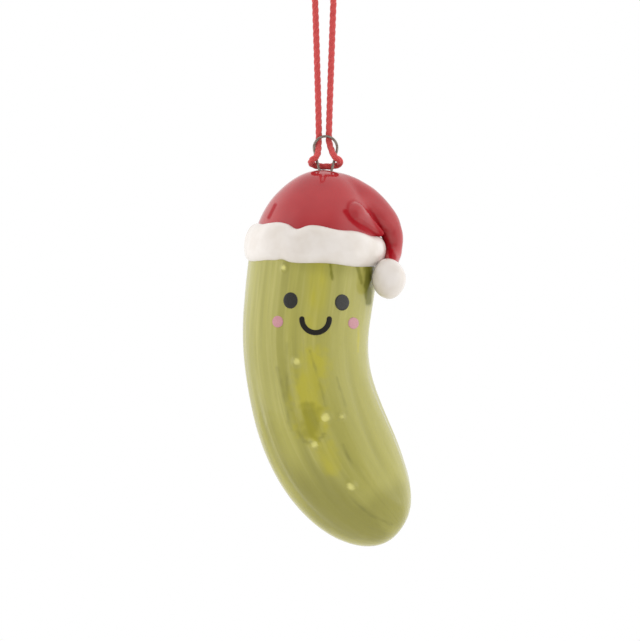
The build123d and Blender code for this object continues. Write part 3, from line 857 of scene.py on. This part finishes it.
# The eyelet: high-temperature wire bent into a ring and pushed into the soft clay, which the kiln
# has left grey-brown with a dull oxide skin. It is the solid itself with its own metal.
oxide_size = 0.5
wire_metal, tree, shader = new_material("fired_wire")
place = add_node(tree, "TexCoord").outputs["Object"]
oxide = clouds(tree, place, oxide_size, 3.0)
colour = tinted(tree, ranged(tree, oxide, 0.35, 0.7), linear("#9A9189"), linear("#6F5F52"))
tree.links.new(colour, shader.inputs["Base Color"])
tree.links.new(ranged(tree, oxide, first=0.22, last=0.5), shader.inputs["Roughness"])
shader.inputs["Metallic"].default_value = 1.0
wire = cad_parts["wire_eyelet"]
wire.data.materials.clear()
wire.data.materials.append(wire_metal)

# The cord: one length of three-ply red cotton, hitched through the ring, hung over a hook and
# closed by a knot above it, from one cut tail to the other. It is made in three stretches.
ply_count, ply_radius, ply_offset, ply_pitch = 3, 0.64, 0.25, 5.6
ply_step, ply_columns = 0.22, 12
ring_middle = np.array((0.48, -1.25, -53.45))
cord_cut, twist_top, swing_foot = -46.0, -2.0, -50.5
left_tail = [(-2.4, 0.5, 16.4), (-0.9, 0.5, 12.4), (-0.9, 0.0, 8.4), (-0.9, 0, 6.7)]
left_side = [(-0.9, 0, 3.41), (-3.05, 0, 1.26), (-2.45, 0, -9), (-1.52, 0, -39), (-1.27, 0, -50.5)]
# The hitch, from the middle of the ring
hitch_route = [
    (-1.85, 1.35, 1.55), (-1.9, -0.05, -0.75), (-2.3, -1.5, -2.5), (-3.85, -1.3, -3.45),
    (-3.95, 1.15, -4.2), (-2.35, 1.75, -4.75), (0, 1.6, -4.9), (2.35, 1.75, -4.75),
    (3.95, 1.15, -4.2), (3.85, -1.3, -3.45), (2.3, -1.5, -2.5), (1.65, -0.05, -0.75),
    (0.95, 1.35, 1.55),
]
hitch = [tuple(ring_middle + np.array(point)) for point in hitch_route]
right_side = [(1.35, 0, -50.5), (1.69, 0, -39), (2.8, 0, -9), (3.05, 0, 1.26), (0.9, 0, 3.41)]
# The right end goes twice round both strands and up through its own turns
wrap_turns, wrap_steps = 2, 12
wrap_across, wrap_deep, wrap_top, wrap_drop = 2.5, 1.75, 8.6, 3.0
wraps = []
for step in range(wrap_steps * wrap_turns + 1):
    turn = 2 * math.pi * step / wrap_steps
    height = wrap_top - wrap_drop * step / (wrap_steps * wrap_turns)
    wraps.append((wrap_across * math.cos(turn), -wrap_deep * math.sin(turn), height))
wrap_enter = [(0.9, 0.5, 5.6), (0.8, 1.9, 7.2), (1.4, 2.5, 8.8), (2.6, 1.5, 8.9)]
wrap_leave = [(2.6, -1.5, 5.3), (1.4, -2.5, 5.4), (0.8, -1.9, 7.0), (0.8, -0.4, 8.4)]
right_tail = [(0.9, 0.4, 9.6), (0.9, 0.3, 12.4), (1.8, 0.3, 16.4)]
knot = wrap_enter + wraps + wrap_leave
cord_route = left_tail + left_side + hitch + right_side + knot + right_tail

route_curve = bpy.data.curves.new("cord_route", "CURVE")
route_curve.dimensions = "3D"
route_curve.resolution_u = 24
route_spline = route_curve.splines.new("NURBS")
route_spline.points.add(len(cord_route) - 1)
for point, place in zip(route_spline.points, cord_route):
    point.co = (*(np.array(place) * mm), 1.0)
route_spline.order_u = 3
route_spline.use_endpoint_u = True
route_object = add_object("cord_route", route_curve)
drawn = mesh_points(shaped_mesh(route_object))
bpy.data.objects.remove(route_object)

steps = np.linalg.norm(np.diff(drawn, axis=0), axis=1)
run = np.concatenate(([0], np.cumsum(steps)))
even = np.arange(0, run[-1], ply_step)
line = np.stack([np.interp(even, run, drawn[:, axis]) for axis in range(3)], 1)
ahead = np.gradient(line, axis=0)
ahead = ahead / np.linalg.norm(ahead, axis=1)[:, None]
side = np.cross(ahead[0], (0, 1, 0))
sides = []
for direction in ahead:
    side = side - (side @ direction) * direction
    side = side / np.linalg.norm(side)
    sides.append(side)
sides = np.array(sides)
backs = np.cross(ahead, sides)

# Single fibres are far too fine to show, so the yarn is drawn with fibres of a tenth of a millimetre
fibre_width, fibre_length, fibre_slant, fibre_shift = 0.12, 1.6, 0.35, 7.0
cotton, tree, shader = new_material("red_cotton_cord")
fibre = stored(tree, "fibre", "Vector")
scaled = add_node(tree, "VectorMath", {0: fibre, 1: (1 / fibre_width, 1 / fibre_length, 1.0)},
                  operation="MULTIPLY").outputs[0]
grain = add_node(tree, "TexNoise", {"Vector": scaled, "Scale": 1.0, "Detail": 2.0}).outputs["Fac"]
colour = tinted(tree, ranged(tree, grain, 0.3, 0.7), linear("#BE3A3B"), linear("#E05B58"))
tree.links.new(colour, shader.inputs["Base Color"])
bumped(tree, shader, grain, 0.05)
shader.inputs["Roughness"].default_value = 0.85
shader.inputs["Sheen Weight"].default_value = 0.35
shader.inputs["Sheen Roughness"].default_value = 0.4

ply_around = np.linspace(0, 2 * math.pi, ply_columns, endpoint=False)


def cord_piece(name, first, last):
    """Twisted plies along a stretch of the line, and the stretch in metres."""
    rows = last - first
    lengths = np.repeat(even[first:last], ply_columns)
    arcs = np.tile(ply_radius * ply_around, rows)
    forms, fibres = [], []
    for ply in range(ply_count):
        turn = 2 * math.pi * (even[first:last] / ply_pitch + ply / ply_count)
        out = np.cos(turn)[:, None] * sides[first:last] + np.sin(turn)[:, None] * backs[first:last]
        over = np.cross(ahead[first:last], out)
        circle = (np.cos(ply_around)[None, :, None] * out[:, None, :]
                  + np.sin(ply_around)[None, :, None] * over[:, None, :])
        points = (line[first:last] + ply_offset * out)[:, None, :] + ply_radius * circle
        forms.append((points.reshape(-1, 3), tube_faces(rows, ply_columns)))
        slanted = arcs + fibre_slant * lengths
        fibres.append(np.stack((slanted, lengths, np.full_like(arcs, fibre_shift * ply)), 1))
    made = new_piece(name, *joined(forms), cotton)
    store(made.data, "fibre", np.concatenate(fibres))
    return made, [tuple(p) for p in line[first:last] * mm]


below = np.nonzero(line[:, 2] < cord_cut)[0]
left_last, right_first = below[0], below[-1]
left_cord, left_path = cord_piece("left_cord", 0, left_last + 1)
hitch_cord, hitch_path = cord_piece("hitch_cord", left_last, right_first + 1)
right_cord, right_path = cord_piece("right_cord", right_first, len(line))
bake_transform(left_cord)
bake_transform(right_cord)
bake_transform(hitch_cord)
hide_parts("left_strand", "cord_top")
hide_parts("right_strand", "cord_knot")
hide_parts("cord_hitch")
for piece, path, far_end in (
    (left_cord, left_path[::-1], "knot"),
    (right_cord, right_path, "knot"),
    (hitch_cord, hitch_path, "object"),
):
    length = ply_step * mm * (len(path) - 1)

# The studio: a white tent that glows all round, most at its sides and least towards the camera,
# so the glaze shows a pale sheen down both sides and its own colour in the middle.
floor_drop, floor_radius = 0.34, 0.8
floor_mesh = bpy.data.meshes.new("studio_floor")
floor_form = bmesh.new()
bmesh.ops.create_circle(floor_form, cap_ends=True, segments=96, radius=floor_radius)
floor_form.to_mesh(floor_mesh)
floor_form.free()
floor = add_object("studio_floor", floor_mesh)
floor.location = (0, 0, -floor_drop)
floor_paper, tree, shader = new_material("white_paper")
shader.inputs["Base Color"].default_value = linear("#F2F1EE")
shader.inputs["Roughness"].default_value = 0.9
floor_mesh.materials.append(floor_paper)
floor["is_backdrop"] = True

# Light of the tent towards the camera, at its sides, behind the ornament, above and below it
front_level, side_level, back_level, top_level, floor_level = 0.65, 1.55, 1.0, 1.1, 0.7
# Where the light changes: degrees round from the camera, and heights of the direction
side_turns = (math.radians(25), math.radians(70))
back_turns = (math.radians(115), math.radians(160))
top_heights, floor_heights = (0.45, 0.9), (-0.4, -0.8)
soft = {"interpolation_type": "SMOOTHSTEP"}
world = bpy.data.worlds.new("white_tent")
bpy.context.scene.world = world
world.use_nodes = True
tree = world.node_tree
tree.nodes.clear()
seen = add_node(tree, "LightPath").outputs["Is Camera Ray"]
toward = add_node(tree, "TexCoord").outputs["Generated"]
parts = add_node(tree, "SeparateXYZ", {0: toward}).outputs
sideways = add_node(tree, "Math", {0: parts["X"]}, operation="ABSOLUTE").outputs[0]
to_camera = add_node(tree, "Math", {0: parts["Y"], 1: -1.0}, operation="MULTIPLY").outputs[0]
round_turn = add_node(tree, "Math", {0: sideways, 1: to_camera}, operation="ARCTAN2").outputs[0]
level = ranged(tree, round_turn, *side_turns, front_level, side_level, **soft)
for value, limits, light in (
    (round_turn, back_turns, back_level),
    (parts["Z"], top_heights, top_level),
    (parts["Z"], floor_heights, floor_level),
):
    level = tinted(tree, ranged(tree, value, *limits, **soft), level, (light, light, light, 1))
level = tinted(tree, seen, level, (1, 1, 1, 1))
background = add_node(tree, "Background", {"Color": level, "Strength": 1.0})
tree.links.new(background.outputs[0], add_node(tree, "OutputWorld").inputs["Surface"])

# The camera: level, far off on a long lens, framed as the photograph is.
# The view is as wide as it is high, so one size sets the lens.
view_size, view_middle = 171.4, (-1.0, -99.5)
camera_distance, camera_sensor = 0.55, 36.0
camera = bpy.data.cameras.new("camera")
camera.sensor_width = camera_sensor
camera.lens = camera_sensor * camera_distance / (view_size * mm)
camera.clip_end = 10.0
camera_object = add_object("camera", camera)
camera_object.location = (view_middle[0] * mm, -camera_distance, view_middle[1] * mm)
camera_object.rotation_euler = (math.pi / 2, 0, 0)
bpy.context.scene.camera = camera_object
bpy.context.scene.view_settings.view_transform = "Standard"

low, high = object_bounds()
